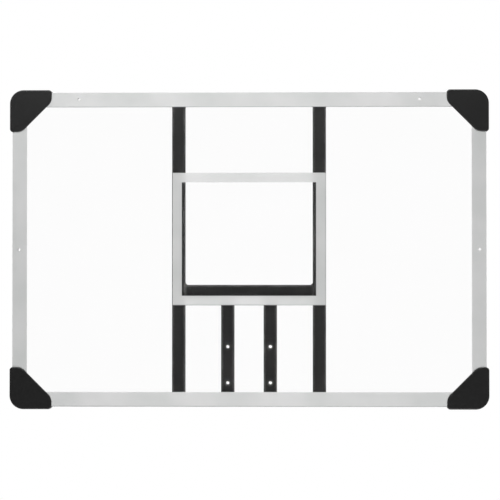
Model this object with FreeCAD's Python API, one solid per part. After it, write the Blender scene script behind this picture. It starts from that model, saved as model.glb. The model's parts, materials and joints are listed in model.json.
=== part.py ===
import FreeCAD, Part
import math
import os

V = FreeCAD.Vector

# Basketball backboard: a clear sheet with silver markings on a welded frame of black steel tube,
# with moulded caps on its four corners.
# Millimetres. X runs along the board to the right as seen by a player, Y from the player to the wall, Z up.
# The origin is the middle of the board on the plane of the frame's back, which lies against the wall.

# Clear sheet
panel_width = 890.0
panel_height = 590.0
panel_thickness = 3.0
panel_corner_radius = 21.0

# Silver markings on the front of the sheet
marking_thickness = 0.2
border_width = 27.5
target_width = 288.0
target_height = 249.0
target_line_width = 18.0
target_bottom_height = 190.0

# Steel tube of the frame, wide side seen from the front
tube_width = 25.0
tube_depth = 20.0
tube_wall = 1.2
tube_corner_radius = 2.5

# Frame: heights are measured from the lower edge of the sheet, the spacing between the uprights' axes
frame_bend_radius = 50.0
upright_spacing = 264.4
crossbar_height = 216.0

# Hoop bolt pattern
hoop_hole_diameter = 6.6
hoop_spacing_across = 80.0
hoop_spacing_up = 68.0
hoop_pattern_height = 78.5

# Fixing holes: small ones in sheet and border, and bores in the frame that leave the screws some play
fixing_hole_diameter = 5.0
fixing_bore_diameter = 8.0
top_fixing_spacing = 640.0

# Welds
crossbar_weld_leg = 3.5
post_weld_leg = 2.0
weld_bulge = 0.35
seam_weld_width = 6.0
seam_weld_height = 1.2

# Corner caps
cap_overhang = 5.0
cap_skin = 2.3
cap_leg = 79.0
cap_end_width = 22.0
cap_end_radius = 6.0
cap_shoulder_radius = 20.0
cap_edge_radius = 2.0
cap_clearance = 0.2

# Cap screws
screw_shank_diameter = 4.0
screw_length = 14.0
screw_point_length = 3.5
screw_head_diameter = 8.0
screw_head_rim = 0.9
screw_head_height = 2.2
screw_recess_length = 4.2
screw_recess_width = 1.0
screw_recess_depth = 1.3
screw_from_cap_end = 14.0
screw_sink = 0.3
screw_head_clearance = 0.5
screw_hole_clearance = 0.2

# Planes from back to front
back_y = 0.0
tube_axis_y = back_y - tube_depth / 2
tube_front_y = back_y - tube_depth
panel_front_y = tube_front_y - panel_thickness
marking_front_y = panel_front_y - marking_thickness
cap_front_y = marking_front_y - cap_skin

# Places that several pieces share
half_width = panel_width / 2
half_height = panel_height / 2
rail_axis_z = half_height - tube_width / 2
rail_inner_z = half_height - tube_width
stile_axis_x = half_width - tube_width / 2
upright_x = upright_spacing / 2
upright_inner_x = upright_x - tube_width / 2
crossbar_z = crossbar_height - half_height
crossbar_top_z = crossbar_z + tube_width / 2
crossbar_bottom_z = crossbar_z - tube_width / 2
hoop_z = hoop_pattern_height - half_height
hoop_post_x = hoop_spacing_across / 2
target_bottom_z = target_bottom_height - half_height
weld_length = tube_depth - 2 * tube_corner_radius

# How far a cutting shape runs past the face it opens
cut_margin = 1.0

axis_x = V(1, 0, 0)
axis_y = V(0, 1, 0)
axis_z = V(0, 0, 1)
sides = (-1, 1)

hoop_holes = [(x * hoop_post_x, hoop_z + z * hoop_spacing_up / 2) for x in sides for z in sides]
top_fixing_holes = [(x * top_fixing_spacing / 2, rail_axis_z) for x in sides]
side_fixing_holes = [(x * stile_axis_x, 0.0) for x in sides]
fixing_holes = top_fixing_holes + side_fixing_holes


def rounded_wire(corners):
    """Closed wire through (point, radius) corners: straight runs joined by tangent arcs."""
    points = [point for point, radius in corners]
    rounds = []
    for index, (point, radius) in enumerate(corners):
        to_last = (points[index - 1] - point).normalize()
        to_next = (points[(index + 1) % len(points)] - point).normalize()
        half_angle = to_last.getAngle(to_next) / 2
        reach = radius / math.tan(half_angle)
        inward = (to_last + to_next).normalize()
        middle = point + inward * (radius / math.sin(half_angle) - radius)
        rounds.append((point + to_last * reach, middle, point + to_next * reach))
    edges = []
    for index, (start, middle, end) in enumerate(rounds):
        if corners[index][1] > 0:
            edges.append(Part.Arc(start, middle, end).toShape())
        next_start = rounds[(index + 1) % len(rounds)][0]
        edges.append(Part.LineSegment(end, next_start).toShape())
    return Part.Wire(edges)


def plate(corners, front_y, rear_y):
    """Plate of the outline (x, z, radius) between two planes that face the player and the wall."""
    outline = rounded_wire([(V(x, front_y, z), radius) for x, z, radius in corners])
    return Part.Face(outline).extrude(V(0, rear_y - front_y, 0))


def rectangle(left, right, bottom, top, radius=0.0):
    """Corners of an upright rectangle, all with one radius."""
    return [(left, bottom, radius), (right, bottom, radius), (right, top, radius), (left, top, radius)]


def drill(piece, holes, diameter):
    """Piece with round holes bored through it from front to back."""
    start_y = cap_front_y - cut_margin
    length = back_y + cut_margin - start_y
    for x, z in holes:
        piece = piece.cut(Part.makeCylinder(diameter / 2, length, V(x, start_y, z), axis_y))
    return piece


def panel_outline(margin=0.0):
    """Outline of the clear sheet, grown by a margin on every side."""
    x = half_width + margin
    z = half_height + margin
    return rectangle(-x, x, -z, z, panel_corner_radius + margin)


def backboard_panel():
    """Clear sheet with rounded corners and all its holes."""
    sheet = plate(panel_outline(), panel_front_y, tube_front_y)
    sheet = drill(sheet, hoop_holes, hoop_hole_diameter)
    return drill(sheet, fixing_holes, fixing_hole_diameter)


def silver_border():
    """Silver band round the edge of the sheet, pierced by the fixing holes."""
    band = plate(panel_outline(), marking_front_y, panel_front_y)
    inner_x = half_width - border_width
    inner_z = half_height - border_width
    window = rectangle(-inner_x, inner_x, -inner_z, inner_z)
    band = band.cut(plate(window, marking_front_y - cut_margin, panel_front_y + cut_margin))
    return drill(band, fixing_holes, fixing_hole_diameter)


def silver_target():
    """Silver lines of the target square."""
    outer_x = target_width / 2
    outer_top = target_bottom_z + target_height
    inner_x = outer_x - target_line_width
    inner_bottom = target_bottom_z + target_line_width
    inner_top = outer_top - target_line_width
    lines = plate(rectangle(-outer_x, outer_x, target_bottom_z, outer_top), marking_front_y, panel_front_y)
    window = rectangle(-inner_x, inner_x, inner_bottom, inner_top)
    return lines.cut(plate(window, marking_front_y - cut_margin, panel_front_y + cut_margin))


def tube_section(x, z, across):
    """Hollow section of the tube at a point of its axis, with its wide side along the given direction."""
    centre = V(x, tube_axis_y, z)

    def outline(inset):
        wide = across * (tube_width / 2 - inset)
        deep = axis_y * (tube_depth / 2 - inset)
        radius = max(tube_corner_radius - inset, 0.0)
        corners = (wide + deep, wide - deep, wide * -1 - deep, wide * -1 + deep)
        return rounded_wire([(centre + corner, radius) for corner in corners])

    return Part.makeFace([outline(0.0), outline(tube_wall)], "Part::FaceMakerBullseye")


def upright_tube(x, bottom_z, top_z):
    """Straight tube that stands between two heights."""
    return tube_section(x, bottom_z, axis_x).extrude(V(0, 0, top_z - bottom_z))


def level_tube(z, left_x, right_x):
    """Straight tube that lies between two places along the board."""
    return tube_section(left_x, z, axis_z).extrude(V(right_x - left_x, 0, 0))


def right_frame_half():
    """Right half of the edge frame: one tube bent twice, cut square at the middle of the board."""
    bend_x = half_width - frame_bend_radius
    bend_z = half_height - frame_bend_radius
    quarter_turn = 90
    top_rail = level_tube(rail_axis_z, 0.0, bend_x)
    bottom_rail = level_tube(-rail_axis_z, 0.0, bend_x)
    stile = upright_tube(stile_axis_x, -bend_z, bend_z)
    top_bend = tube_section(bend_x, rail_axis_z, axis_z)
    top_bend = top_bend.revolve(V(bend_x, tube_axis_y, bend_z), axis_y, quarter_turn)
    bottom_bend = tube_section(bend_x, -rail_axis_z, axis_z)
    bottom_bend = bottom_bend.revolve(V(bend_x, tube_axis_y, -bend_z), axis_y, -quarter_turn)
    half = top_rail.multiFuse([top_bend, stile, bottom_bend, bottom_rail]).removeSplitter()
    half = drill(half, fixing_holes, fixing_bore_diameter)
    for side in sides:
        for place, outward in cap_screw_places(1, side):
            half = half.cut(screw_hole(place, outward, screw_shank_diameter + screw_hole_clearance))
    return half


def left_frame_half():
    """Left half of the edge frame, the mirror image of the right one."""
    return right_frame_half().mirror(V(0, 0, 0), axis_x)


def upright(side):
    """Tube behind one side of the target, from the bottom rail to the top rail."""
    return upright_tube(side * upright_x, -rail_inner_z, rail_inner_z)


def crossbar():
    """Tube between the two uprights."""
    return level_tube(crossbar_z, -upright_inner_x, upright_inner_x)


def hoop_post(side):
    """Short tube from the bottom rail to the crossbar, bored for the hoop's bolts."""
    post = upright_tube(side * hoop_post_x, -rail_inner_z, crossbar_bottom_z)
    return drill(post, hoop_holes, hoop_hole_diameter)


def weld_fillet(x, z, toward_x, toward_z, leg):
    """Weld bead along the depth of the tube, in the corner at (x, z) between two tube faces."""
    front_y = tube_front_y + tube_corner_radius
    corner = V(x, front_y, z)
    toe_x = corner + axis_x * (toward_x * leg)
    toe_z = corner + axis_z * (toward_z * leg)
    crown = (toe_x + toe_z) * 0.5 + V(toward_x, 0, toward_z).normalize() * weld_bulge
    face_arc = Part.Arc(toe_x, crown, toe_z).toShape()
    edges = [Part.LineSegment(corner, toe_x).toShape(), face_arc, Part.LineSegment(toe_z, corner).toShape()]
    return Part.Face(Part.Wire(edges)).extrude(V(0, weld_length, 0))


def upright_welds():
    """Beads on both sides of each upright at the bottom and top rails."""
    beads = []
    for side in sides:
        for end in sides:
            for flank in sides:
                x = side * upright_x + flank * tube_width / 2
                beads.append(weld_fillet(x, end * rail_inner_z, flank, -end, post_weld_leg))
    return Part.makeCompound(beads)


def hoop_post_welds():
    """Beads on both sides of each hoop post at the bottom rail and under the crossbar."""
    beads = []
    for side in sides:
        for flank in sides:
            x = side * hoop_post_x + flank * tube_width / 2
            beads.append(weld_fillet(x, -rail_inner_z, flank, 1, post_weld_leg))
            beads.append(weld_fillet(x, crossbar_bottom_z, flank, -1, post_weld_leg))
    return Part.makeCompound(beads)


def crossbar_welds():
    """Beads above and below the crossbar at both uprights."""
    beads = []
    for side in sides:
        beads.append(weld_fillet(side * upright_inner_x, crossbar_top_z, -side, 1, crossbar_weld_leg))
        beads.append(weld_fillet(side * upright_inner_x, crossbar_bottom_z, -side, -1, crossbar_weld_leg))
    return Part.makeCompound(beads)


def frame_seam_welds():
    """Low beads across the inner faces of the rails where the two frame halves meet."""
    beads = []
    front_y = tube_front_y + tube_corner_radius
    for end in sides:
        base_z = end * rail_inner_z
        left = V(-seam_weld_width / 2, front_y, base_z)
        right = V(seam_weld_width / 2, front_y, base_z)
        crown = V(0, front_y, base_z - end * seam_weld_height)
        edges = [Part.LineSegment(left, right).toShape(), Part.Arc(right, crown, left).toShape()]
        beads.append(Part.Face(Part.Wire(edges)).extrude(V(0, weld_length, 0)))
    return Part.makeCompound(beads)


def cap_outline(side, end):
    """Outline of one corner cap, from its outer corner inwards: two legs joined by a diagonal."""
    outer_x = half_width + cap_overhang
    outer_z = half_height + cap_overhang
    outer_radius = panel_corner_radius + cap_overhang
    corners = [
        (0.0, 0.0, outer_radius),
        (cap_leg, 0.0, cap_end_radius),
        (cap_leg, cap_end_width, cap_shoulder_radius),
        (cap_end_width, cap_leg, cap_shoulder_radius),
        (0.0, cap_leg, cap_end_radius),
    ]
    return [(side * (outer_x - inward), end * (outer_z - down), radius) for inward, down, radius in corners]


def cap_screw_places(side, end):
    """Seat of the screw head and outward direction for the two screws of one cap."""
    along = cap_leg - screw_from_cap_end
    seat_depth = screw_head_height + screw_sink
    outer_x = half_width + cap_overhang
    outer_z = half_height + cap_overhang
    level_leg = V(side * (outer_x - along), tube_axis_y, end * (outer_z - seat_depth))
    upright_leg = V(side * (outer_x - seat_depth), tube_axis_y, end * (outer_z - along))
    return [(level_leg, V(0, 0, end)), (upright_leg, V(side, 0, 0))]


def screw_hole(seat, outward, diameter):
    """Cutter for a screw's shank, from under its head inwards."""
    start = seat + outward * cut_margin
    return Part.makeCylinder(diameter / 2, screw_length + 2 * cut_margin, start, outward * -1)


def corner_cap(side, end):
    """Moulded cap over one corner of sheet and frame: a front skin and two side walls."""
    body = plate(cap_outline(side, end), cap_front_y, back_y)
    front_edges = [edge for edge in body.Edges if edge.BoundBox.YMax < cap_front_y + cut_margin]
    body = body.makeFillet(min(cap_edge_radius, cap_skin), front_edges)
    body = body.cut(plate(panel_outline(cap_clearance), marking_front_y, back_y + cut_margin))
    for seat, outward in cap_screw_places(side, end):
        head_pocket = (screw_head_diameter + screw_head_clearance) / 2
        depth = screw_head_height + screw_sink + cut_margin
        body = body.cut(Part.makeCylinder(head_pocket, depth, seat, outward))
        body = body.cut(screw_hole(seat, outward, screw_shank_diameter + 2 * screw_hole_clearance))
    return body


def cap_screw(seat, outward):
    """Pan-head self-tapping screw with a cross recess, seated under its head."""
    head_radius = screw_head_diameter / 2
    shank_radius = screw_shank_diameter / 2
    dome_height = screw_head_height - screw_head_rim
    dome_radius = (head_radius ** 2 + dome_height ** 2) / (2 * dome_height)
    dome_centre_z = screw_head_height - dome_radius
    half_dome = math.asin(head_radius / dome_radius) / 2
    rim = V(head_radius, 0, screw_head_rim)
    shoulder = V(dome_radius * math.sin(half_dome), 0, dome_centre_z + dome_radius * math.cos(half_dome))
    top = V(0, 0, screw_head_height)
    dome = Part.Arc(rim, shoulder, top).toShape()
    outline = [
        top,
        V(0, 0, -screw_length),
        V(shank_radius, 0, screw_point_length - screw_length),
        V(shank_radius, 0, 0),
        V(head_radius, 0, 0),
        rim,
    ]
    edges = [Part.LineSegment(start, end).toShape() for start, end in zip(outline, outline[1:])]
    profile = Part.Face(Part.Wire(edges + [dome]))
    screw = profile.revolve(V(0, 0, 0), axis_z, 360)
    bar = Part.makeBox(screw_recess_length, screw_recess_width, screw_recess_depth + cut_margin)
    bar.translate(V(-screw_recess_length / 2, -screw_recess_width / 2, screw_head_height - screw_recess_depth))
    turned = bar.copy()
    turned.rotate(V(0, 0, 0), axis_z, 90)
    screw = screw.cut(bar.fuse(turned))
    screw.Placement = FreeCAD.Placement(seat, FreeCAD.Rotation(axis_z, outward))
    return screw


def cap_screws():
    """All screws of the four caps."""
    places = [place for side in sides for end in sides for place in cap_screw_places(side, end)]
    return Part.makeCompound([cap_screw(seat, outward) for seat, outward in places])


nodes = {
    "backboard_panel": backboard_panel(),
    "silver_border": silver_border(),
    "silver_target": silver_target(),
    "frame_left_half": left_frame_half(),
    "frame_right_half": right_frame_half(),
    "left_upright": upright(-1),
    "right_upright": upright(1),
    "crossbar": crossbar(),
    "left_hoop_post": hoop_post(-1),
    "right_hoop_post": hoop_post(1),
    "upright_welds": upright_welds(),
    "crossbar_welds": crossbar_welds(),
    "hoop_post_welds": hoop_post_welds(),
    "frame_seam_welds": frame_seam_welds(),
    "corner_cap_top_left": corner_cap(-1, 1),
    "corner_cap_top_right": corner_cap(1, 1),
    "corner_cap_bottom_left": corner_cap(-1, -1),
    "corner_cap_bottom_right": corner_cap(1, -1),
    "cap_screws": cap_screws(),
}

os.makedirs("parts", exist_ok=True)
for name, shape in nodes.items():
    print(name, "solids", len(shape.Solids), "valid", shape.isValid(), "volume mm3", round(shape.Volume, 1))
    shape.exportStep("parts/" + name + ".step")
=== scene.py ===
"""Looks of a basketball backboard: clear sheet, silver markings, black tube frame, moulded caps."""

import json
import math

import bmesh
import bpy
from bpy.props import FloatProperty, FloatVectorProperty, PointerProperty
from bpy.types import Operator, Panel, PropertyGroup
from mathutils import Matrix, Vector


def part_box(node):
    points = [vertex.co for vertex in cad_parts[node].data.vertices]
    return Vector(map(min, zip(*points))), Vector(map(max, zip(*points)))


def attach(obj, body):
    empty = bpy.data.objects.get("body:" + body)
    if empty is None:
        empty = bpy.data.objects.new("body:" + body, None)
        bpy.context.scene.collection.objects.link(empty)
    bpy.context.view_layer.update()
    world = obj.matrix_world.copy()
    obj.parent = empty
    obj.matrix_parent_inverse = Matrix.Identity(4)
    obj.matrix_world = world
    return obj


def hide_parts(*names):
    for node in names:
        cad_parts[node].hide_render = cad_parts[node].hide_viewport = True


bl_info = {
    "name": "Basketball Backboard Looks",
    "version": (1, 0, 0),
    "blender": (4, 5, 0),
    "location": "3D View > Sidebar > Backboard",
    "description": "Dresses the packed backboard in its finishes and sets up its studio",
    "category": "Object",
}

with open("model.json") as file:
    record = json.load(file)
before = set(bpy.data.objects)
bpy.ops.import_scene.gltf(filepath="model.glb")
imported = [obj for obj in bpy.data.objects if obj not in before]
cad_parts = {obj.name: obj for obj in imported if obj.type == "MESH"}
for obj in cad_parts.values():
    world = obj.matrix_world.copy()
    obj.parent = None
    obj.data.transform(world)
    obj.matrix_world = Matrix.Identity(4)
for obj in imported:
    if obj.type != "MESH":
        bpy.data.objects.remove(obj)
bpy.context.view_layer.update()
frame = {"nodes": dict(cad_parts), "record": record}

MM = 0.001
BODY = "root"

UPRIGHTS = ("left_upright", "right_upright")
HOOP_POSTS = ("left_hoop_post", "right_hoop_post")
TUBES = ("frame_left_half", "frame_right_half", "crossbar", *UPRIGHTS, *HOOP_POSTS)
CAPS = (
    "corner_cap_top_left",
    "corner_cap_top_right",
    "corner_cap_bottom_left",
    "corner_cap_bottom_right",
)


def linear(hex_colour):
    """Linear RGBA of an sRGB colour written as #RRGGBB."""
    channels = []
    for start in (1, 3, 5):
        value = int(hex_colour[start:start + 2], 16) / 255
        channels.append(value / 12.92 if value <= 0.04045 else ((value + 0.055) / 1.055) ** 2.4)
    return (*channels, 1.0)


def per_metre(size):
    """Texture scale at which one feature is that many metres wide."""
    return 1.0 / size


def colour(name, description, hex_colour):
    """Property that holds a colour."""
    return FloatVectorProperty(
        name=name,
        description=description,
        subtype="COLOR",
        size=4,
        min=0.0,
        max=1.0,
        default=linear(hex_colour),
    )


def length(name, description, size, least=0.0):
    """Property that holds a length."""
    return FloatProperty(name=name, description=description, unit="LENGTH", min=least, default=size)


def share(name, description, value):
    """Property that holds a share from 0 to 1."""
    return FloatProperty(
        name=name, description=description, subtype="FACTOR", min=0.0, max=1.0, default=value
    )


def power(name, description, watts):
    """Property that holds the power of a lamp."""
    return FloatProperty(name=name, description=description, unit="POWER", min=0.0, default=watts)


class SheetLook(PropertyGroup):
    """Clear sheet"""

    tint: colour("Tint", "Colour that the sheet gives to what is seen through it", "#FFFFFF")
    wiped_tint: colour("Wiped tint", "Colour that the sheet gives under its wipe marks", "#FEFEFE")
    corner_radius: length("Corners", "Radius of the sheet's corners", 21 * MM)
    hoop_hole: length("Hoop holes", "Diameter of the holes for the hoop's bolts", 6.6 * MM)
    fixing_hole: length("Fixing holes", "Diameter of the holes for the fixing screws", 5 * MM)
    edge_radius: length("Edge", "Radius of the polished edge", 0.4 * MM)
    tube_gap: length("Tube gap", "Room for the paint between the sheet and the tubes", 0.05 * MM)
    wipe_width: length("Wipe marks", "Width of the marks that a cloth leaves", 60 * MM, 1 * MM)


class MarkingLook(PropertyGroup):
    """Silver markings"""

    silver: colour("Silver", "Colour of the silver film where it is lightest", "#DFDFDF")
    cool_silver: colour("Cool silver", "Colour of the silver film where it is darkest", "#D0D2D1")
    # Painted shade: a darker line is painted along the lower edges of the film.
    shaded: colour("Shaded", "Colour of the shading along the lower edges of the film", "#505253")
    shaded_width: length("Grime line", "How far the shading reaches up from an edge", 1.7 * MM, 0.1 * MM)
    border_width: length("Border", "Width of the border round the sheet", 27.5 * MM)
    line_width: length("Target line", "Width of the lines of the target", 18 * MM)
    target_trim: length("Target trim", "How far the target's film is cut short at its left", 0.8 * MM)
    fixing_hole: length("Fixing holes", "Diameter of the holes punched in the film", 4.5 * MM)
    glue_gap: length("Glue gap", "Room for the glue between film and sheet", 0.02 * MM)
    border_cover: share("Border cover", "Share of what lies behind that the border hides", 0.93)
    target_cover: share("Target cover", "Share of what lies behind that the target hides", 0.91)
    cloud_width: length("Clouds", "Width of the film's soft light and dark patches", 85 * MM, 1 * MM)
    cloud_pattern: FloatProperty(
        name="Cloud pattern",
        description="Which of its many patterns of light and dark patches the film shows",
        default=0.7,
    )
    flake_width: length(
        "Flakes",
        "Width of the metal flakes, drawn coarser than real so that they show",
        2.4 * MM,
        0.1 * MM,
    )


class SteelLook(PropertyGroup):
    """Black steel frame"""

    paint: colour("Paint", "Colour of the powder coat", "#1C1C1C")
    # Painted light: the coat is painted lighter towards the top of the board.
    upper_lit_paint: colour("Lighter paint", "Colour of the powder coat where it is lighter", "#2E2E2E")
    lit_ramp_start: length("Lightening start", "Height over the board's middle where dust begins", -0.25, -1.0)
    lit_ramp_full: length("Lightening full", "Height over the board's middle where dust is full", 0.1, -1.0)
    # Painted highlight: a lighter colour is painted on the rounded corners of the tubes.
    highlight_paint: colour("Highlighted paint", "Colour of the powder coat where corners are rubbed", "#6A6A69")
    highlight_and_wear_reach: length("Highlight", "How far the rubbed paint reaches in from a corner", 6 * MM, 0.1 * MM)
    peel_width: length(
        "Orange peel",
        "Width of the dimples in the coat, drawn coarser than real so that they show",
        4 * MM,
        0.1 * MM,
    )
    mottle_width: length("Mottle", "Width of the lighter patches on the coat", 40 * MM, 1 * MM)
    crossbar_leg: length(
        "Crossbar weld",
        "Leg of the fillet welds between crossbar and uprights",
        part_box("crossbar_welds")[1].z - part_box("crossbar")[1].z,
    )
    post_leg: length(
        "Post weld",
        "Leg of the fillet welds at the ends of uprights and hoop posts",
        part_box("upright_welds")[1].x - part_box("right_upright")[1].x,
    )
    seam_width: length("Seam weld", "Width of the butt welds of the frame", 6 * MM)
    seam_height: length("Seam height", "Height of the butt welds of the frame", 0.8 * MM)
    weld_bulge: length("Weld bulge", "How far a fillet weld swells over its straight face", 0.1 * MM)
    ripple_pitch: length("Weld ripple", "Distance from one ripple to the next", 1.8 * MM, 0.2 * MM)
    ripple_height: length("Ripple height", "Height of the ripples of a weld", 0.35 * MM)


class CapLook(PropertyGroup):
    """Moulded corner caps"""

    plastic: colour("Plastic", "Colour of the moulded plastic", "#111111")
    scuffed_plastic: colour("Scuffed plastic", "Colour of the plastic where edges are scuffed", "#2A2A2A")
    scuff_width: length("Scuffs", "Width of the scuffed stretches along an edge", 25 * MM, 1 * MM)
    highlight_and_wear_reach: length("Scuff reach", "How far the scuffs reach in from an edge", 2.5 * MM, 0.1 * MM)
    grain_width: length(
        "Grain",
        "Width of the moulded grain, drawn coarser than real so that it shows",
        2.6 * MM,
        0.1 * MM,
    )


class ScrewLook(PropertyGroup):
    """Cap screws"""

    zinc: colour("Zinc", "Colour of the zinc plate", "#C9CCCF")
    dull_zinc: colour("Dull zinc", "Colour of the zinc plate where its crystals lie dull", "#A9AEB2")
    crystal_width: length("Crystals", "Width of the crystals in the zinc", 1.5 * MM, 0.1 * MM)
    from_cap_end: length("Place", "From the end of a cap's leg to the middle of its screw", 14 * MM)
    sink: length("Sink", "How far the top of a head lies under the face of its cap", 0.3 * MM)
    thread: length("Thread", "Diameter of a screw over its thread", 4 * MM)
    core: length("Core", "Diameter of a screw between the turns of its thread", 2.8 * MM)
    pitch: length("Pitch", "Distance from one turn of the thread to the next", 1.4 * MM, 0.2 * MM)
    shank: length("Shank", "Length of a screw under its head", 14 * MM)
    point: length("Point", "Length of the tapered point", 3.5 * MM, 0.1 * MM)
    head: length("Head", "Diameter of the head", 8 * MM)
    head_rim: length("Head rim", "Height of the straight rim of the head", 0.9 * MM)
    head_height: length("Head height", "Height of the head with its dome", 2.2 * MM)
    recess_length: length("Recess", "Length of the two bars of the cross recess", 4.2 * MM)
    recess_width: length("Recess width", "Width of the bars of the cross recess", 1 * MM)
    recess_depth: length("Recess depth", "Depth of the cross recess", 1.3 * MM)
    recess_floor: share("Recess floor", "Size of the floor of the recess as a share of its mouth", 0.7)


class StudioLook(PropertyGroup):
    """Camera, lamps and floor"""

    camera_distance: length("Camera distance", "From the middle of the board to the camera", 4.5, 1.0)
    camera_turn: FloatProperty(
        name="Camera turn",
        description="How far the camera stands to the right of straight ahead",
        subtype="ANGLE",
        default=math.radians(1.4),
    )
    camera_drop: FloatProperty(
        name="Camera drop",
        description="How far the camera stands below straight ahead",
        subtype="ANGLE",
        default=math.radians(1.03),
    )
    aim_right: length("Aim right", "How far right of the middle the camera aims", 1.5 * MM, -1.0)
    aim_up: length("Aim up", "How far over the middle the camera aims", -0.7 * MM, -1.0)
    lens: FloatProperty(
        name="Lens",
        description="Focal length in millimetres on a sensor 36 mm wide",
        min=10.0,
        default=171.75,
    )
    room_level: share("Room level", "Brightness of the room in front of the board", 0.14)
    upper_power: power("Upper lamp", "Power of the soft lamp above the board", 19.6)
    lower_power: power("Lower lamp", "Power of the soft lamp below the board", 29.5)
    left_power: power("Left lamp", "Power of the strip lamp at the left of the board", 5.0)
    right_power: power("Right lamp", "Power of the strip lamp at the right of the board", 2.0)
    floor_drop: length("Floor", "From the middle of the board down to the floor", 2.2, 0.5)
    floor_reach: length("Floor reach", "From the middle of the floor to its sides", 6.0, 1.0)
    floor_paint: colour("Floor paint", "Colour of the matt floor", "#EDEDED")
    floor_white: share("Floor white", "How white the floor looks under the board", 0.65)
    floor_fade: length("Floor fade", "Distance at which the floor has faded to white", 5.0, 1.0)


def add_node(tree, kind, settings=None, inputs=None):
    """Adds a node, makes its settings, and fills each input with a value or links it to a socket."""
    node = tree.nodes.new(kind)
    for name, value in (settings or {}).items():
        setattr(node, name, value)
    for name, value in (inputs or {}).items():
        if isinstance(value, bpy.types.NodeSocket):
            tree.links.new(value, node.inputs[name])
        else:
            node.inputs[name].default_value = value
    return node


# Sockets of the Mix node when it mixes colours
MIX_SHARE, MIX_FIRST, MIX_SECOND, MIX_RESULT = 0, 6, 7, 2


def new_material(name):
    """Empty node material."""
    material = bpy.data.materials.new(name)
    material.use_nodes = True
    material.node_tree.nodes.clear()
    return material


def clear_acrylic(look):
    """Cast acrylic, polished: colourless and mirror smooth, dulled in patches by faint wipe marks."""
    material = new_material("cast_acrylic_polished")
    tree = material.node_tree
    place = add_node(tree, "ShaderNodeTexCoord")
    wipes = add_node(
        tree,
        "ShaderNodeTexNoise",
        inputs={"Vector": place.outputs["Object"], "Scale": per_metre(look.wipe_width), "Detail": 3.0},
    )
    haze = add_node(
        tree,
        "ShaderNodeMapRange",
        inputs={
            "Value": wipes.outputs["Fac"],
            "From Min": 0.4,
            "From Max": 0.75,
            "To Min": 0.008,
            "To Max": 0.035,
        },
    )
    tint = add_node(
        tree,
        "ShaderNodeMix",
        settings={"data_type": "RGBA"},
        inputs={MIX_SHARE: wipes.outputs["Fac"], MIX_FIRST: look.tint, MIX_SECOND: look.wiped_tint},
    )
    relief = add_node(
        tree,
        "ShaderNodeBump",
        inputs={"Strength": 0.1, "Distance": 0.1 * MM, "Height": wipes.outputs["Fac"]},
    )
    shader = add_node(
        tree,
        "ShaderNodeBsdfPrincipled",
        inputs={
            "Base Color": tint.outputs[MIX_RESULT],
            "Roughness": haze.outputs["Result"],
            "IOR": 1.25,
            "Transmission Weight": 1.0,
            "Normal": relief.outputs["Normal"],
        },
    )
    add_node(tree, "ShaderNodeOutputMaterial", inputs={"Surface": shader.outputs["BSDF"]})
    return material


def shaded_mask(tree, height, lower_edges, width):
    """Socket that is 1 at the heights of some lower edges and fades to 0 over a width."""
    mask = None
    for edge in lower_edges:
        offset = add_node(tree, "ShaderNodeMath", {"operation": "SUBTRACT"}, {0: height, 1: edge})
        distance = add_node(tree, "ShaderNodeMath", {"operation": "ABSOLUTE"}, {0: offset.outputs[0]})
        line = add_node(
            tree,
            "ShaderNodeMapRange",
            inputs={"Value": distance.outputs[0], "From Max": width, "To Min": 1.0, "To Max": 0.0},
        )
        if mask is None:
            mask = line.outputs["Result"]
        else:
            both = add_node(
                tree, "ShaderNodeMath", {"operation": "MAXIMUM"}, {0: mask, 1: line.outputs["Result"]}
            )
            mask = both.outputs[0]
    return mask


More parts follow.
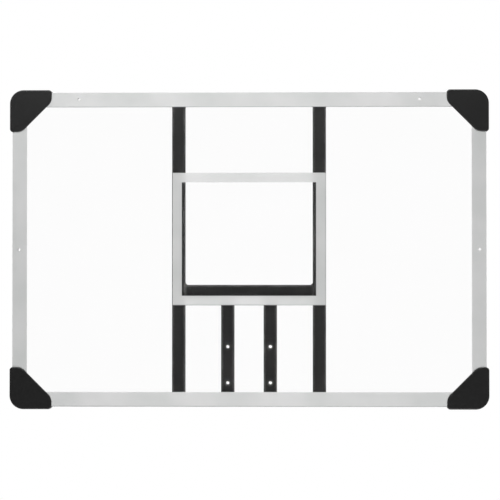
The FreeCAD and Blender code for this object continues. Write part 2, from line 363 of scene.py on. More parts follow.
def silver_film(look, name, cover, lower_edges, upright_from):
    """Silver vinyl film, calendered: a sheen across each strip, soft clouds, flakes, painted shade along
    its lower edges.
    """
    material = new_material(name)
    tree = material.node_tree
    place = add_node(tree, "ShaderNodeTexCoord")
    clouds = add_node(
        tree,
        "ShaderNodeTexNoise",
        settings={"noise_dimensions": "4D"},
        inputs={
            "Vector": place.outputs["Object"],
            "W": look.cloud_pattern,
            "Scale": per_metre(look.cloud_width),
            "Detail": 2.0,
        },
    )
    flakes = add_node(
        tree,
        "ShaderNodeTexVoronoi",
        inputs={"Vector": place.outputs["Object"], "Scale": per_metre(look.flake_width)},
    )
    tone = add_node(
        tree,
        "ShaderNodeMapRange",
        inputs={"Value": clouds.outputs["Fac"], "From Min": 0.3, "From Max": 0.7},
    )
    tint = add_node(
        tree,
        "ShaderNodeMix",
        settings={"data_type": "RGBA"},
        inputs={MIX_SHARE: tone.outputs["Result"], MIX_FIRST: look.cool_silver, MIX_SECOND: look.silver},
    )
    axes = add_node(tree, "ShaderNodeSeparateXYZ", inputs={"Vector": place.outputs["Object"]})
    # Painted shade: the film is darkened in a thin line along its lower edges, varying with the clouds.
    shaded = shaded_mask(tree, axes.outputs["Z"], lower_edges, look.shaded_width)
    patches = add_node(
        tree,
        "ShaderNodeMapRange",
        inputs={"Value": tone.outputs["Result"], "To Min": 0.55, "To Max": 1.0},
    )
    shade_share = add_node(
        tree, "ShaderNodeMath", {"operation": "MULTIPLY"}, {0: shaded, 1: patches.outputs["Result"]}
    )
    shaded_tint = add_node(
        tree,
        "ShaderNodeMix",
        settings={"data_type": "RGBA"},
        inputs={
            MIX_SHARE: shade_share.outputs[0],
            MIX_FIRST: tint.outputs[MIX_RESULT],
            MIX_SECOND: look.shaded,
        },
    )
    sideways = add_node(tree, "ShaderNodeMath", {"operation": "ABSOLUTE"}, {0: axes.outputs["X"]})
    upright = add_node(
        tree, "ShaderNodeMath", {"operation": "GREATER_THAN"}, {0: sideways.outputs[0], 1: upright_from}
    )
    level = add_node(tree, "ShaderNodeMath", {"operation": "SUBTRACT"}, {0: 1.0, 1: upright.outputs[0]})
    across = add_node(
        tree, "ShaderNodeCombineXYZ", inputs={"X": upright.outputs[0], "Z": level.outputs[0]}
    )
    sheen = add_node(
        tree,
        "ShaderNodeMapRange",
        inputs={"Value": flakes.outputs["Distance"], "From Max": 0.7, "To Min": 0.38, "To Max": 0.48},
    )
    relief = add_node(
        tree,
        "ShaderNodeBump",
        inputs={"Strength": 0.06, "Distance": 0.1 * MM, "Height": flakes.outputs["Distance"]},
    )
    shader = add_node(
        tree,
        "ShaderNodeBsdfPrincipled",
        inputs={
            "Base Color": shaded_tint.outputs[MIX_RESULT],
            "Metallic": 0.25,
            "Roughness": sheen.outputs["Result"],
            "Anisotropic": 0.25,
            "Tangent": across.outputs["Vector"],
            "Alpha": cover,
            "Normal": relief.outputs["Normal"],
        },
    )
    add_node(tree, "ShaderNodeOutputMaterial", inputs={"Surface": shader.outputs["BSDF"]})
    return material


def film_glue(look):
    """Acrylic glue, rolled out thin: clear, with faint streaks where the roller left it thicker."""
    material = new_material("acrylic_glue_rolled")
    tree = material.node_tree
    place = add_node(tree, "ShaderNodeTexCoord")
    streaks = add_node(
        tree,
        "ShaderNodeTexNoise",
        inputs={"Vector": place.outputs["Object"], "Scale": per_metre(look.flake_width), "Detail": 1.0},
    )
    veil = add_node(
        tree,
        "ShaderNodeMapRange",
        inputs={"Value": streaks.outputs["Fac"], "To Min": 0.0, "To Max": 0.06},
    )
    tint = add_node(
        tree,
        "ShaderNodeMix",
        settings={"data_type": "RGBA"},
        inputs={MIX_SHARE: streaks.outputs["Fac"], MIX_FIRST: look.silver, MIX_SECOND: look.cool_silver},
    )
    gloss = add_node(
        tree,
        "ShaderNodeMapRange",
        inputs={"Value": streaks.outputs["Fac"], "To Min": 0.4, "To Max": 0.6},
    )
    relief = add_node(
        tree,
        "ShaderNodeBump",
        inputs={"Strength": 0.1, "Distance": 0.05 * MM, "Height": streaks.outputs["Fac"]},
    )
    shader = add_node(
        tree,
        "ShaderNodeBsdfPrincipled",
        inputs={
            "Base Color": tint.outputs[MIX_RESULT],
            "Roughness": gloss.outputs["Result"],
            "Alpha": veil.outputs["Result"],
            "Normal": relief.outputs["Normal"],
        },
    )
    add_node(tree, "ShaderNodeOutputMaterial", inputs={"Surface": shader.outputs["BSDF"]})
    return material


def edge_highlight_and_wear(tree, reach, patches):
    """Socket that is 1 on edges beside front or back, fades over a reach, and shows in patches."""
    # On the steel this mask places a painted highlight along the rounded corners; on the caps it places
    # scuffs.
    rounded = add_node(tree, "ShaderNodeBevel", {"samples": 8}, {"Radius": reach})
    axes = add_node(tree, "ShaderNodeSeparateXYZ", inputs={"Vector": rounded.outputs["Normal"]})
    facing = add_node(
        tree, "ShaderNodeMath", {"operation": "MULTIPLY"}, {0: axes.outputs["Y"], 1: axes.outputs["Y"]}
    )
    turned = add_node(tree, "ShaderNodeMath", {"operation": "SUBTRACT"}, {0: 1.0, 1: facing.outputs[0]})
    corner = add_node(
        tree, "ShaderNodeMath", {"operation": "MULTIPLY"}, {0: facing.outputs[0], 1: turned.outputs[0]}
    )
    band = add_node(
        tree,
        "ShaderNodeMapRange",
        inputs={"Value": corner.outputs[0], "From Min": 0.01, "From Max": 0.2},
    )
    brightened = add_node(
        tree,
        "ShaderNodeMapRange",
        inputs={"Value": patches, "From Min": 0.35, "From Max": 0.6, "To Min": 0.45, "To Max": 1.0},
    )
    highlight_and_wear = add_node(
        tree,
        "ShaderNodeMath",
        {"operation": "MULTIPLY"},
        {0: band.outputs["Result"], 1: brightened.outputs["Result"]},
    )
    return highlight_and_wear.outputs[0]


def powder_coat(look):
    """Mild steel, powder coated: satin black with orange peel, painted lighter towards the top in a mottle,
    and with a painted highlight along its corners in patches.
    """
    material = new_material("mild_steel_powder_coated")
    tree = material.node_tree
    place = add_node(tree, "ShaderNodeTexCoord")
    mottle = add_node(
        tree,
        "ShaderNodeTexNoise",
        inputs={
            "Vector": place.outputs["Object"],
            "Scale": per_metre(look.mottle_width),
            "Detail": 4.0,
        },
    )
    dimples = add_node(
        tree,
        "ShaderNodeTexNoise",
        inputs={"Vector": place.outputs["Object"], "Scale": per_metre(look.peel_width), "Detail": 1.0},
    )
    axes = add_node(tree, "ShaderNodeSeparateXYZ", inputs={"Vector": place.outputs["Object"]})
    # Painted light: the coat turns lighter towards the top, in the pattern of the mottle.
    upper_lit_ramp = add_node(
        tree,
        "ShaderNodeMapRange",
        inputs={"Value": axes.outputs["Z"], "From Min": look.lit_ramp_start, "From Max": look.lit_ramp_full},
    )
    lightening = add_node(
        tree,
        "ShaderNodeMath",
        {"operation": "MULTIPLY"},
        {0: mottle.outputs["Fac"], 1: upper_lit_ramp.outputs["Result"]},
    )
    tint = add_node(
        tree,
        "ShaderNodeMix",
        settings={"data_type": "RGBA"},
        inputs={MIX_SHARE: lightening.outputs[0], MIX_FIRST: look.paint, MIX_SECOND: look.upper_lit_paint},
    )
    # Painted highlight: the corners of the tubes are painted lighter, in patches.
    highlight_and_wear = edge_highlight_and_wear(tree, look.highlight_and_wear_reach, mottle.outputs["Fac"])
    brightened = add_node(
        tree,
        "ShaderNodeMix",
        settings={"data_type": "RGBA"},
        inputs={MIX_SHARE: highlight_and_wear, MIX_FIRST: tint.outputs[MIX_RESULT], MIX_SECOND: look.highlight_paint},
    )
    satin = add_node(
        tree,
        "ShaderNodeMapRange",
        inputs={
            "Value": dimples.outputs["Fac"],
            "From Min": 0.3,
            "From Max": 0.7,
            "To Min": 0.28,
            "To Max": 0.38,
        },
    )
    relief = add_node(
        tree,
        "ShaderNodeBump",
        inputs={"Strength": 0.35, "Distance": 0.2 * MM, "Height": dimples.outputs["Fac"]},
    )
    shader = add_node(
        tree,
        "ShaderNodeBsdfPrincipled",
        inputs={
            "Base Color": brightened.outputs[MIX_RESULT],
            "Roughness": satin.outputs["Result"],
            "IOR": 1.5,
            "Normal": relief.outputs["Normal"],
        },
    )
    add_node(tree, "ShaderNodeOutputMaterial", inputs={"Surface": shader.outputs["BSDF"]})
    return material


def cap_plastic(look):
    """Polypropylene, moulded in a grained tool: matt black with a shinier pebble and scuffed edges."""
    material = new_material("polypropylene_moulded_grain")
    tree = material.node_tree
    place = add_node(tree, "ShaderNodeTexCoord")
    grain = add_node(
        tree,
        "ShaderNodeTexVoronoi",
        settings={"feature": "SMOOTH_F1"},
        inputs={"Vector": place.outputs["Object"], "Scale": per_metre(look.grain_width)},
    )
    scuffs = add_node(
        tree,
        "ShaderNodeTexNoise",
        inputs={"Vector": place.outputs["Object"], "Scale": per_metre(look.scuff_width), "Detail": 4.0},
    )
    highlight_and_wear = edge_highlight_and_wear(tree, look.highlight_and_wear_reach, scuffs.outputs["Fac"])
    tint = add_node(
        tree,
        "ShaderNodeMix",
        settings={"data_type": "RGBA"},
        inputs={MIX_SHARE: highlight_and_wear, MIX_FIRST: look.plastic, MIX_SECOND: look.scuffed_plastic},
    )
    shade = add_node(
        tree,
        "ShaderNodeMapRange",
        inputs={"Value": grain.outputs["Distance"], "From Max": 0.7, "To Min": 0.28, "To Max": 0.4},
    )
    relief = add_node(
        tree,
        "ShaderNodeBump",
        settings={"invert": True},
        inputs={"Strength": 0.3, "Distance": 0.15 * MM, "Height": grain.outputs["Distance"]},
    )
    shader = add_node(
        tree,
        "ShaderNodeBsdfPrincipled",
        inputs={
            "Base Color": tint.outputs[MIX_RESULT],
            "Roughness": shade.outputs["Result"],
            "IOR": 1.49,
            "Normal": relief.outputs["Normal"],
        },
    )
    add_node(tree, "ShaderNodeOutputMaterial", inputs={"Surface": shader.outputs["BSDF"]})
    return material


def zinc_plate(look):
    """Steel, zinc plated: bright bluish metal with a faint crystal mottle."""
    material = new_material("steel_zinc_plated")
    tree = material.node_tree
    place = add_node(tree, "ShaderNodeTexCoord")
    crystals = add_node(
        tree,
        "ShaderNodeTexNoise",
        inputs={
            "Vector": place.outputs["Object"],
            "Scale": per_metre(look.crystal_width),
            "Detail": 3.0,
        },
    )
    polish = add_node(
        tree,
        "ShaderNodeMapRange",
        inputs={
            "Value": crystals.outputs["Fac"],
            "From Min": 0.3,
            "From Max": 0.7,
            "To Min": 0.24,
            "To Max": 0.4,
        },
    )
    tint = add_node(
        tree,
        "ShaderNodeMix",
        settings={"data_type": "RGBA"},
        inputs={MIX_SHARE: crystals.outputs["Fac"], MIX_FIRST: look.zinc, MIX_SECOND: look.dull_zinc},
    )
    relief = add_node(
        tree,
        "ShaderNodeBump",
        inputs={"Strength": 0.2, "Distance": 0.05 * MM, "Height": crystals.outputs["Fac"]},
    )
    shader = add_node(
        tree,
        "ShaderNodeBsdfPrincipled",
        inputs={
            "Base Color": tint.outputs[MIX_RESULT],
            "Metallic": 1.0,
            "Roughness": polish.outputs["Result"],
            "Normal": relief.outputs["Normal"],
        },
    )
    add_node(tree, "ShaderNodeOutputMaterial", inputs={"Surface": shader.outputs["BSDF"]})
    return material


def dress(names, material):
    """Gives CAD nodes a material."""
    for name in names:
        for slot in frame["nodes"][name].material_slots:
            slot.material = material


def link_object(name, data):
    """New object in the scene."""
    piece = bpy.data.objects.new(name, data)
    bpy.context.scene.collection.objects.link(piece)
    return piece


def stand_in(name, mesh, node):
    """New piece that rides on the board in place of a CAD node."""
    piece = link_object(name, mesh)
    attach(piece, BODY)
    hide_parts(node)
    return piece


def closed_mesh(name, shape, material):
    """Smooth mesh of a closed shape, in one material."""
    bmesh.ops.recalc_face_normals(shape, faces=shape.faces)
    mesh = bpy.data.meshes.new(name)
    shape.to_mesh(mesh)
    shape.free()
    mesh.shade_smooth()
    mesh.materials.append(material)
    return mesh


def bridge(shape, lower, upper):
    """Adds the faces between two closed rings of as many points."""
    for index in range(len(lower)):
        following = (index + 1) % len(lower)
        shape.faces.new((lower[index], lower[following], upper[following], upper[index]))


def hole_places(*mounts):
    """Places (x, z) of the holes of some of the record's mounts."""
    places = []
    for mount in frame["record"]["mounts"]:
        if mount["name"] not in mounts:
            continue
        x, _, z = mount["pos_m"]
        reach_x = mount["dims"]["spacing_x_mm"] * MM / 2
        reach_z = mount["dims"].get("spacing_y_mm", 0.0) * MM / 2
        rows = (z - reach_z, z + reach_z) if reach_z else (z,)
        places += [(x + side * reach_x, row) for side in (-1, 1) for row in rows]
    if not places:
        raise RuntimeError("The record has none of the mounts " + ", ".join(mounts))
    return places


# Length of the handles that bend a Bezier curve into a quarter circle of radius 1
QUARTER_HANDLE = 4 / 3 * (math.sqrt(2) - 1)


def add_loop(curve, knots):
    """Closed Bezier loop through knots given as (place, handle before, handle after)."""
    spline = curve.splines.new("BEZIER")
    spline.bezier_points.add(len(knots) - 1)
    for point, (place, before, after) in zip(spline.bezier_points, knots):
        point.co = (*place, 0.0)
        point.handle_left = (*before, 0.0)
        point.handle_right = (*after, 0.0)
    spline.use_cyclic_u = True


def add_circle(curve, x, z, radius):
    """Round loop of four quarter circles."""
    knots = []
    for quarter in range(4):
        angle = quarter * math.pi / 2
        out = Vector((math.cos(angle), math.sin(angle)))
        handle = Vector((-out.y, out.x)) * (radius * QUARTER_HANDLE)
        place = Vector((x, z)) + out * radius
        knots.append((place, place - handle, place + handle))
    add_loop(curve, knots)


def add_rectangle(curve, low, high, radius):
    """Rectangular loop with round corners, or with sharp ones where the radius is 0."""
    corners = (
        (low.x, low.z, Vector((0, -1)), Vector((1, 0))),
        (high.x, low.z, Vector((1, 0)), Vector((0, 1))),
        (high.x, high.z, Vector((0, 1)), Vector((-1, 0))),
        (low.x, high.z, Vector((-1, 0)), Vector((0, -1))),
    )
    reach = radius * (1 - QUARTER_HANDLE)
    knots = []
    for x, z, arriving, leaving in corners:
        corner = Vector((x, z))
        start = corner - arriving * radius
        end = corner + leaving * radius
        if radius > 0:
            knots.append((start, start, corner - arriving * reach))
            knots.append((end, corner + leaving * reach, end))
        else:
            knots.append((corner, corner, corner))
    add_loop(curve, knots)


def new_outline():
    """Empty flat curve that fills what lies between its loops."""
    curve = bpy.data.curves.new("outline", "CURVE")
    curve.dimensions = "2D"
    curve.fill_mode = "BOTH"
    curve.resolution_u = 10
    return curve


# Points of a plate that are nearer than this are one, and faces that turn less than this are flat
MERGE_DISTANCE = 0.001 * MM
FLAT_TURN = math.radians(0.1)


def plate_mesh(name, curve, front_y, back_y, edge_radius):
    """Plate of an outline between two planes, with its edges rounded by a radius."""
    curve.extrude = (back_y - front_y) / 2 - edge_radius
    curve.bevel_depth = edge_radius
    curve.bevel_resolution = 1
    curve.offset = -edge_radius
    holder = bpy.data.objects.new(name, curve)
    mesh = bpy.data.meshes.new_from_object(holder)
    bpy.data.objects.remove(holder)
    bpy.data.curves.remove(curve)
    mesh.name = name
    mesh.materials.clear()
    standing = Matrix.Rotation(math.pi / 2, 4, "X")
    mesh.transform(Matrix.Translation((0.0, (front_y + back_y) / 2, 0.0)) @ standing)
    shape = bmesh.new()
    shape.from_mesh(mesh)
    bmesh.ops.remove_doubles(shape, verts=shape.verts, dist=MERGE_DISTANCE)
    bmesh.ops.dissolve_limit(shape, angle_limit=FLAT_TURN, verts=shape.verts, edges=shape.edges)
    bmesh.ops.recalc_face_normals(shape, faces=shape.faces)
    shape.to_mesh(mesh)
    shape.free()
    return mesh


class BACKBOARD_OT_clear_sheet(Operator):
    """Make the polished acrylic sheet with its holes"""

    bl_idname = "backboard.clear_sheet"
    bl_label = "Clear Sheet"

    def execute(self, context):
        look = context.scene.backboard_sheet
        low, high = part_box("backboard_panel")
        outline = new_outline()
        add_rectangle(outline, low, high, look.corner_radius)
        for place in hole_places("hoop_bolts"):
            add_circle(outline, *place, look.hoop_hole / 2)
        for place in hole_places("top_fixings", "side_fixings"):
            add_circle(outline, *place, look.fixing_hole / 2)
        mesh = plate_mesh("clear_sheet", outline, low.y, high.y - look.tube_gap, look.edge_radius)
        mesh.materials.append(clear_acrylic(look))
        stand_in("clear_sheet", mesh, "backboard_panel")
        return {"FINISHED"}


def film_piece(name, node, outline, look, film, glue):
    """Piece of silver film: its front carries the silver, its back and edges the clear glue."""
    low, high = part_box(node)
    mesh = plate_mesh(name, outline, low.y, high.y - look.glue_gap, 0.0)
    mesh.materials.append(film)
    mesh.materials.append(glue)
    forward = Vector((0.0, -1.0, 0.0))
    for face in mesh.polygons:
        faces_forward = face.normal.angle(forward, math.pi) < math.pi / 3
        face.material_index = 0 if faces_forward else 1
    stand_in(name, mesh, node)


class BACKBOARD_OT_silver_markings(Operator):
    """Make the silver film of border and target"""

    bl_idname = "backboard.silver_markings"
    bl_label = "Silver Markings"

    def execute(self, context):
        look = context.scene.backboard_markings
        sheet = context.scene.backboard_sheet
        glue = film_glue(look)
        low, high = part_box("silver_border")
        inset = Vector((look.border_width, 0.0, look.border_width))
        border = new_outline()
        add_rectangle(border, low, high, sheet.corner_radius)
        add_rectangle(border, low + inset, high - inset, 0.0)
        for place in hole_places("top_fixings", "side_fixings"):
            add_circle(border, *place, look.fixing_hole / 2)
        film = silver_film(
            look,
            "silver_vinyl_calendered_thick",
            cover=look.border_cover,
            lower_edges=(low.z, (high - inset).z),
            upright_from=(high - inset).x,
        )
        film_piece("silver_border_film", "silver_border", border, look, film, glue)
        low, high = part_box("silver_target")
        inset = Vector((look.line_width, 0.0, look.line_width))
        trim = Vector((look.target_trim, 0.0, 0.0))
        target = new_outline()
        add_rectangle(target, low + trim, high, 0.0)
        add_rectangle(target, low + inset, high - inset, 0.0)
        film = silver_film(
            look,
            "silver_vinyl_calendered_thin",
            cover=look.target_cover,
            lower_edges=(low.z,),
            upright_from=(high - inset).x,
        )
        film_piece("silver_target_film", "silver_target", target, look, film, glue)
        return {"FINISHED"}


def add_bead(shape, span, root, toes, bulge, look):
    """Adds one weld bead along Y: a section between two toes that ripples and thins out at its ends."""
    ring_count = 60
    arc_count = 8
    end_bluntness = 6
    least_end = 0.04
    ripple_curve = 0.4
    ripple_pinch = 0.1
    outward = ((toes[0] + toes[1]) / 2 - root).normalized()
    # The root of a flat bead lies midway between its toes, and such a bead rises towards the board's middle
    if outward.length == 0:
        outward = Vector((0.0, -math.copysign(1.0, root.y)))
    rings = []
    for step in range(ring_count + 1):
        along = step / ring_count
        y = span[0] + along * (span[1] - span[0])
        swell = math.sqrt(max(1 - (2 * along - 1) ** end_bluntness, least_end))
        ring = [(root.x, y, root.y)]
        for point in range(arc_count + 1):
            across = point / arc_count
            crown = 1 - (2 * across - 1) ** 2
            ripple = ((y - span[0]) / look.ripple_pitch - ripple_curve * crown) % 1.0
            height = crown * (bulge + look.ripple_height * ripple)
            place = toes[0].lerp(toes[1], across) + outward * height
            place = root + (place - root) * (swell * (1 - ripple_pinch * ripple))
            ring.append((place.x, y, place.y))
        rings.append([shape.verts.new(place) for place in ring])
    for first, second in zip(rings, rings[1:]):
        bridge(shape, first, second)
    shape.faces.new(rings[0])
    shape.faces.new(rings[-1])


def fillet_beads(corners, leg, bulge):
    """Fillet welds, each (root, toes, bulge), in corners (x, z, direction along x, direction along z)."""
    beads = []
    for x, z, side, rise in corners:
        root = Vector((x, z))
        toes = (root + Vector((side * leg, 0.0)), root + Vector((0.0, rise * leg)))
        beads.append((root, toes, bulge))
    return beads


def post_corners(posts):
    """Corners at the two ends of standing tubes, outside on both sides."""
    corners = []
    for post in posts:
        low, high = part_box(post)
        for x, side in ((low.x, -1), (high.x, 1)):
            corners += [(x, low.z, side, 1), (x, high.z, side, -1)]
    return corners


def crossbar_corners():
    """Corners above and below the crossbar at its two ends."""
    low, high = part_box("crossbar")
    corners = []
    for x, side in ((low.x, 1), (high.x, -1)):
        corners += [(x, low.z, side, -1), (x, high.z, side, 1)]
    return corners


def seam_beads(look):
    """Butt welds, each (root, toes, bulge), inside top and bottom rail where the frame's halves meet."""
    low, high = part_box("left_upright")
    half = look.seam_width / 2
    beads = []
    for z in (low.z, high.z):
        root = Vector((0.0, z))
        toes = (root + Vector((-half, 0.0)), root + Vector((half, 0.0)))
        beads.append((root, toes, look.seam_height))
    return beads


def weld_piece(name, node, beads, coat, look):
    """New piece of weld beads in place of a CAD node, as long as the node's own beads."""
    low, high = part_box(node)
    shape = bmesh.new()
    for root, toes, bulge in beads:
        add_bead(shape, (low.y, high.y), root, toes, bulge, look)
    stand_in(name, closed_mesh(name, shape, coat), node)


class BACKBOARD_OT_tube_frame(Operator):
    """Give the tubes of the frame their black powder coat and make their weld beads"""

    bl_idname = "backboard.tube_frame"
    bl_label = "Tube Frame"

    def execute(self, context):
        look = context.scene.backboard_steel
        coat = powder_coat(look)
        dress(TUBES, coat)
        beads = fillet_beads(post_corners(UPRIGHTS), look.post_leg, look.weld_bulge)
        weld_piece("upright_weld_beads", "upright_welds", beads, coat, look)
        beads = fillet_beads(post_corners(HOOP_POSTS), look.post_leg, look.weld_bulge)
        weld_piece("hoop_post_weld_beads", "hoop_post_welds", beads, coat, look)
        beads = fillet_beads(crossbar_corners(), look.crossbar_leg, look.weld_bulge)
        weld_piece("crossbar_weld_beads", "crossbar_welds", beads, coat, look)
        weld_piece("frame_seam_weld_beads", "frame_seam_welds", seam_beads(look), coat, look)
        return {"FINISHED"}


class BACKBOARD_OT_corner_caps(Operator):
    """Give the corner caps their moulded plastic"""

    bl_idname = "backboard.corner_caps"
    bl_label = "Corner Caps"

    def execute(self, context):
        dress(CAPS, cap_plastic(context.scene.backboard_caps))
        return {"FINISHED"}


# Each screw stops at another turn of its recess, and edges that turn more than the second angle stay sharp
SCREW_TURN = math.radians(67)
SHARP_TURN = math.radians(40)


def screw_places(look):
    """Top of the head and outward direction of each screw: two in every cap, at half the tubes' depth."""
    tube_low, tube_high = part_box("crossbar")
    y = (tube_low.y + tube_high.y) / 2
    places = []
    for cap in CAPS:
        low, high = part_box(cap)
        inner_x, outer_x = sorted((low.x, high.x), key=abs)
        inner_z, outer_z = sorted((low.z, high.z), key=abs)
        sideways = Vector((math.copysign(1.0, outer_x), 0.0, 0.0))
        upward = Vector((0.0, 0.0, math.copysign(1.0, outer_z)))
        on_rail = Vector((inner_x, y, outer_z)) + sideways * look.from_cap_end
        on_side = Vector((outer_x, y, inner_z)) + upward * look.from_cap_end
        places.append((on_rail - upward * look.sink, upward))
        places.append((on_side - sideways * look.sink, sideways))
    return places


def threaded_rings(look, side_count):
    """Rings of a shank from its point up to its head, each a list of (radius, height) round the axis."""
    rows_per_turn = 8
    row_count = round(look.shank / look.pitch * rows_per_turn)
    core = look.core / 2
    depth = look.thread / 2 - core
    rings = []
    for row in range(1, row_count + 1):
        above_point = look.shank * row / row_count
        taper = min(above_point / look.point, 1.0)
        ring = []
        for side in range(side_count):
            phase = above_point / look.pitch - side / side_count
            ridge = ((1 + math.cos(2 * math.pi * phase)) / 2) ** 2
            ring.append((taper * (core + depth * ridge), above_point - look.shank))
        rings.append(ring)
    return rings


def dome_height(look, out):
    """Height of a screw's dome over the seat of its head, at a distance from its axis."""
    radius = look.head / 2
    rise = look.head_height - look.head_rim
    ball = (radius ** 2 + rise ** 2) / (2 * rise)
    return look.head_height - ball + math.sqrt(ball ** 2 - out ** 2)


def head_rings(look, side_count):
    """Rings of a pan head from its underside up its dome to the circle round its recess."""
    dome_steps = 4
    recess_margin = 1.2
    radius = look.head / 2
    flat = recess_margin * look.recess_length / 2
    rings = [[(radius, 0.0)] * side_count]
    for step in range(dome_steps + 1):
        out = radius + (flat - radius) * step / dome_steps
        rings.append([(out, dome_height(look, out))] * side_count)
    return rings


def cross_outline(look):
    """Twelve corners of the cross recess, in order round the axis."""
    reach = look.recess_length / 2
    half = look.recess_width / 2
    corners = []
    for quarter in range(4):
        turn = Matrix.Rotation(quarter * math.pi / 2, 2)
        corners += [turn @ Vector(corner) for corner in ((reach, -half), (reach, half), (half, half))]
    return corners


def add_screw(shape, seat, look):
    """Adds one self-tapping screw in the frame of a matrix: Z is its axis, 0 the underside of its head."""
    side_count = 24
    rings = []
    for ring in threaded_rings(look, side_count) + head_rings(look, side_count):
        points = []
        for side, (out, height) in enumerate(ring):
            angle = 2 * math.pi * side / side_count
            place = Vector((out * math.cos(angle), out * math.sin(angle), height))
            points.append(shape.verts.new(seat @ place))
        rings.append(points)
    tip = shape.verts.new(seat @ Vector((0.0, 0.0, -look.shank)))
    for index in range(side_count):
        shape.faces.new((tip, rings[0][(index + 1) % side_count], rings[0][index]))
    for lower, upper in zip(rings, rings[1:]):
        bridge(shape, lower, upper)
    floor_height = look.head_height - look.recess_depth
    mouth = []
    floor = []
    for corner in cross_outline(look):
        upper_corner = Vector((*corner, dome_height(look, corner.length)))
        lower_corner = Vector((*(corner * look.recess_floor), floor_height))
        mouth.append(shape.verts.new(seat @ upper_corner))
        floor.append(shape.verts.new(seat @ lower_corner))
    bridge(shape, floor, mouth)
    shape.faces.new(floor)
    rims = []
    for loop in (rings[-1], mouth):
        rims += [shape.edges.get((first, second)) for first, second in zip(loop, loop[1:] + loop[:1])]
    outward = seat.to_3x3() @ Vector((0.0, 0.0, 1.0))
    bmesh.ops.triangle_fill(shape, use_beauty=True, edges=rims, normal=outward)


class BACKBOARD_OT_cap_screws(Operator):
    """Make the zinc-plated cap screws with their threads and cross recesses"""

    bl_idname = "backboard.cap_screws"
    bl_label = "Cap Screws"

    def execute(self, context):
        look = context.scene.backboard_screws
        shape = bmesh.new()
        for number, (top, outward) in enumerate(screw_places(look)):
            seat = Matrix.Translation(top - outward * look.head_height)
            along = outward.to_track_quat("Z", "Y").to_matrix().to_4x4()
            tightened = Matrix.Rotation(number * SCREW_TURN, 4, "Z")
            add_screw(shape, seat @ along @ tightened, look)
        mesh = closed_mesh("threaded_cap_screws", shape, zinc_plate(look))
        mesh.set_sharp_from_angle(angle=SHARP_TURN)
        stand_in("threaded_cap_screws", mesh, "cap_screws")
        return {"FINISHED"}


def light_room(look):
    """World: white to the camera and through the sheet, white behind the board, dim in front of it."""
    world = bpy.data.worlds.new("studio_room")
    bpy.context.scene.world = world
    world.use_nodes = True
    tree = world.node_tree
    tree.nodes.clear()
    path = add_node(tree, "ShaderNodeLightPath")
    bounces = add_node(
        tree,
        "ShaderNodeMath",
        settings={"operation": "ADD"},
        inputs={0: path.outputs["Glossy Depth"], 1: path.outputs["Diffuse Depth"]},
    )
    straight = add_node(
        tree,
        "ShaderNodeMath",
        settings={"operation": "LESS_THAN"},
        inputs={0: bounces.outputs[0], 1: 0.5},
    )
    through_sheet = add_node(
        tree,
        "ShaderNodeMath",
        settings={"operation": "MULTIPLY"},
        inputs={0: path.outputs["Is Transmission Ray"], 1: straight.outputs[0]},
    )
    seen = add_node(
        tree,
        "ShaderNodeMath",
        settings={"operation": "MAXIMUM"},
        inputs={0: path.outputs["Is Camera Ray"], 1: through_sheet.outputs[0]},
    )
    direction = add_node(tree, "ShaderNodeTexCoord")
    axes = add_node(tree, "ShaderNodeSeparateXYZ", inputs={"Vector": direction.outputs["Generated"]})
    room = add_node(
        tree,
        "ShaderNodeMapRange",
        inputs={
            "Value": axes.outputs["Y"],
            "From Min": 0.2,
            "From Max": 0.95,
            "To Min": look.room_level,
            "To Max": 1.0,
        },
    )
    level = add_node(
        tree,
        "ShaderNodeMath",
        settings={"operation": "MAXIMUM"},
        inputs={0: seen.outputs[0], 1: room.outputs["Result"]},
    )
    white = add_node(
        tree,
        "ShaderNodeBackground",
        inputs={"Color": linear("#FFFFFF"), "Strength": level.outputs[0]},
    )
    add_node(tree, "ShaderNodeOutputWorld", inputs={"Surface": white.outputs["Background"]})


def aim(piece, target):
    """Turns a lamp or camera to look at a point."""
    piece.rotation_euler = (Vector(target) - piece.location).to_track_quat("-Z", "Y").to_euler()


# Width and height of the lamps' soft boxes
UPPER_BOX = (1.5, 1.0)
LOWER_BOX = (1.0, 1.0)
STRIP_BOX = (0.3, 1.2)


def soft_lamp(name, place, size, watts):
    """Soft box that looks at the middle of the board."""
    data = bpy.data.lights.new(name, "AREA")
    data.energy = watts
    data.shape = "RECTANGLE"
    data.size, data.size_y = size
    lamp = link_object(name, data)
    lamp.location = place
    lamp.visible_camera = False
    aim(lamp, (0.0, 0.0, 0.0))


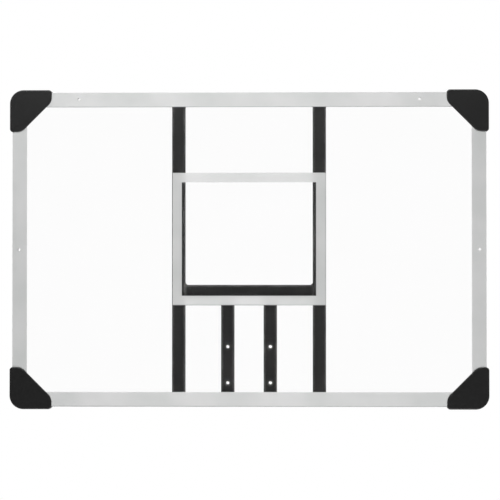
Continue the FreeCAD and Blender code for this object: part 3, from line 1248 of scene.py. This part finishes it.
def lay_floor(look):
    """Pale floor well below the board, which keeps its shadow and fades to white further out."""
    reach = look.floor_reach
    mesh = bpy.data.meshes.new("studio_floor")
    corners = [(-reach, -reach), (reach, -reach), (reach, reach), (-reach, reach)]
    mesh.from_pydata([(x, y, -look.floor_drop) for x, y in corners], [], [(0, 1, 2, 3)])
    floor = link_object("studio_floor", mesh)
    material = new_material("studio_floor_matt_white")
    tree = material.node_tree
    shader = add_node(
        tree,
        "ShaderNodeBsdfPrincipled",
        inputs={"Base Color": look.floor_paint, "Roughness": 0.9},
    )
    path = add_node(tree, "ShaderNodeLightPath")
    seen = add_node(
        tree,
        "ShaderNodeMath",
        {"operation": "MAXIMUM"},
        {0: path.outputs["Is Camera Ray"], 1: path.outputs["Is Transmission Ray"]},
    )
    place = add_node(tree, "ShaderNodeTexCoord")
    centre = (0.0, 0.0, -look.floor_drop)
    distance = add_node(
        tree, "ShaderNodeVectorMath", {"operation": "DISTANCE"}, {0: place.outputs["Object"], 1: centre}
    )
    fade = add_node(
        tree,
        "ShaderNodeMapRange",
        inputs={
            "Value": distance.outputs["Value"],
            "From Max": look.floor_fade,
            "To Min": look.floor_white,
            "To Max": 1.0,
        },
    )
    whiteness = add_node(
        tree,
        "ShaderNodeMath",
        {"operation": "MULTIPLY"},
        {0: seen.outputs[0], 1: fade.outputs["Result"]},
    )
    white = add_node(tree, "ShaderNodeEmission", inputs={"Color": linear("#FFFFFF"), "Strength": 1.0})
    surface = add_node(
        tree,
        "ShaderNodeMixShader",
        inputs={0: whiteness.outputs[0], 1: shader.outputs["BSDF"], 2: white.outputs["Emission"]},
    )
    add_node(tree, "ShaderNodeOutputMaterial", inputs={"Surface": surface.outputs[0]})
    mesh.materials.append(material)


def place_camera(look):
    """Camera at the photograph's viewing angle."""
    data = bpy.data.cameras.new("studio_camera")
    data.lens = look.lens
    data.sensor_width = 36.0
    camera = link_object("studio_camera", data)
    out = math.cos(look.camera_drop)
    direction = Vector((
        math.sin(look.camera_turn) * out,
        -math.cos(look.camera_turn) * out,
        -math.sin(look.camera_drop),
    ))
    target = Vector((look.aim_right, 0.0, look.aim_up))
    camera.location = target + direction * look.camera_distance
    aim(camera, target)
    bpy.context.scene.camera = camera


class BACKBOARD_OT_studio(Operator):
    """Set up floor, room light, lamps and camera"""

    bl_idname = "backboard.studio"
    bl_label = "Studio"

    def execute(self, context):
        look = context.scene.backboard_studio
        context.scene.view_settings.view_transform = "Standard"
        light_room(look)
        lamps = (
            ("upper_soft_lamp", (-0.2, -1.25, 1.15), UPPER_BOX, look.upper_power),
            ("lower_soft_lamp", (0.15, -1.2, -1.6), LOWER_BOX, look.lower_power),
            ("left_strip_lamp", (-1.6, -0.5, 0.9), STRIP_BOX, look.left_power),
            ("right_strip_lamp", (1.6, -0.5, 0.1), STRIP_BOX, look.right_power),
        )
        for name, place, size, watts in lamps:
            soft_lamp(name, place, size, watts)
        lay_floor(look)
        place_camera(look)
        return {"FINISHED"}


LOOKS = {
    "backboard_sheet": SheetLook,
    "backboard_markings": MarkingLook,
    "backboard_steel": SteelLook,
    "backboard_caps": CapLook,
    "backboard_screws": ScrewLook,
    "backboard_studio": StudioLook,
}

OPERATORS = (
    BACKBOARD_OT_clear_sheet,
    BACKBOARD_OT_silver_markings,
    BACKBOARD_OT_tube_frame,
    BACKBOARD_OT_corner_caps,
    BACKBOARD_OT_cap_screws,
    BACKBOARD_OT_studio,
)


class BACKBOARD_PT_sidebar(Panel):
    """Sizes and colours of the backboard, and the steps that dress it"""

    bl_idname = "BACKBOARD_PT_sidebar"
    bl_label = "Basketball Backboard"
    bl_space_type = "VIEW_3D"
    bl_region_type = "UI"
    bl_category = "Backboard"

    def draw(self, context):
        for name, group in LOOKS.items():
            section = self.layout.box()
            section.label(text=group.__doc__)
            for field in group.__annotations__:
                section.prop(getattr(context.scene, name), field)
        for operator in OPERATORS:
            self.layout.operator(operator.bl_idname)


def register():
    """Registers the looks, the operators and the panel."""
    for group in LOOKS.values():
        bpy.utils.register_class(group)
    for name, group in LOOKS.items():
        setattr(bpy.types.Scene, name, PointerProperty(type=group))
    for operator in OPERATORS:
        bpy.utils.register_class(operator)
    bpy.utils.register_class(BACKBOARD_PT_sidebar)


def unregister():
    """Takes the panel, the operators and the looks away again."""
    bpy.utils.unregister_class(BACKBOARD_PT_sidebar)
    for operator in reversed(OPERATORS):
        bpy.utils.unregister_class(operator)
    for name in LOOKS:
        delattr(bpy.types.Scene, name)
    for group in reversed(LOOKS.values()):
        bpy.utils.unregister_class(group)


def main():
    """Dresses the board and sets up its studio."""
    register()
    bpy.ops.backboard.clear_sheet()
    bpy.ops.backboard.silver_markings()
    bpy.ops.backboard.tube_frame()
    bpy.ops.backboard.corner_caps()
    bpy.ops.backboard.cap_screws()
    bpy.ops.backboard.studio()


if __name__ == "__main__":
    main()
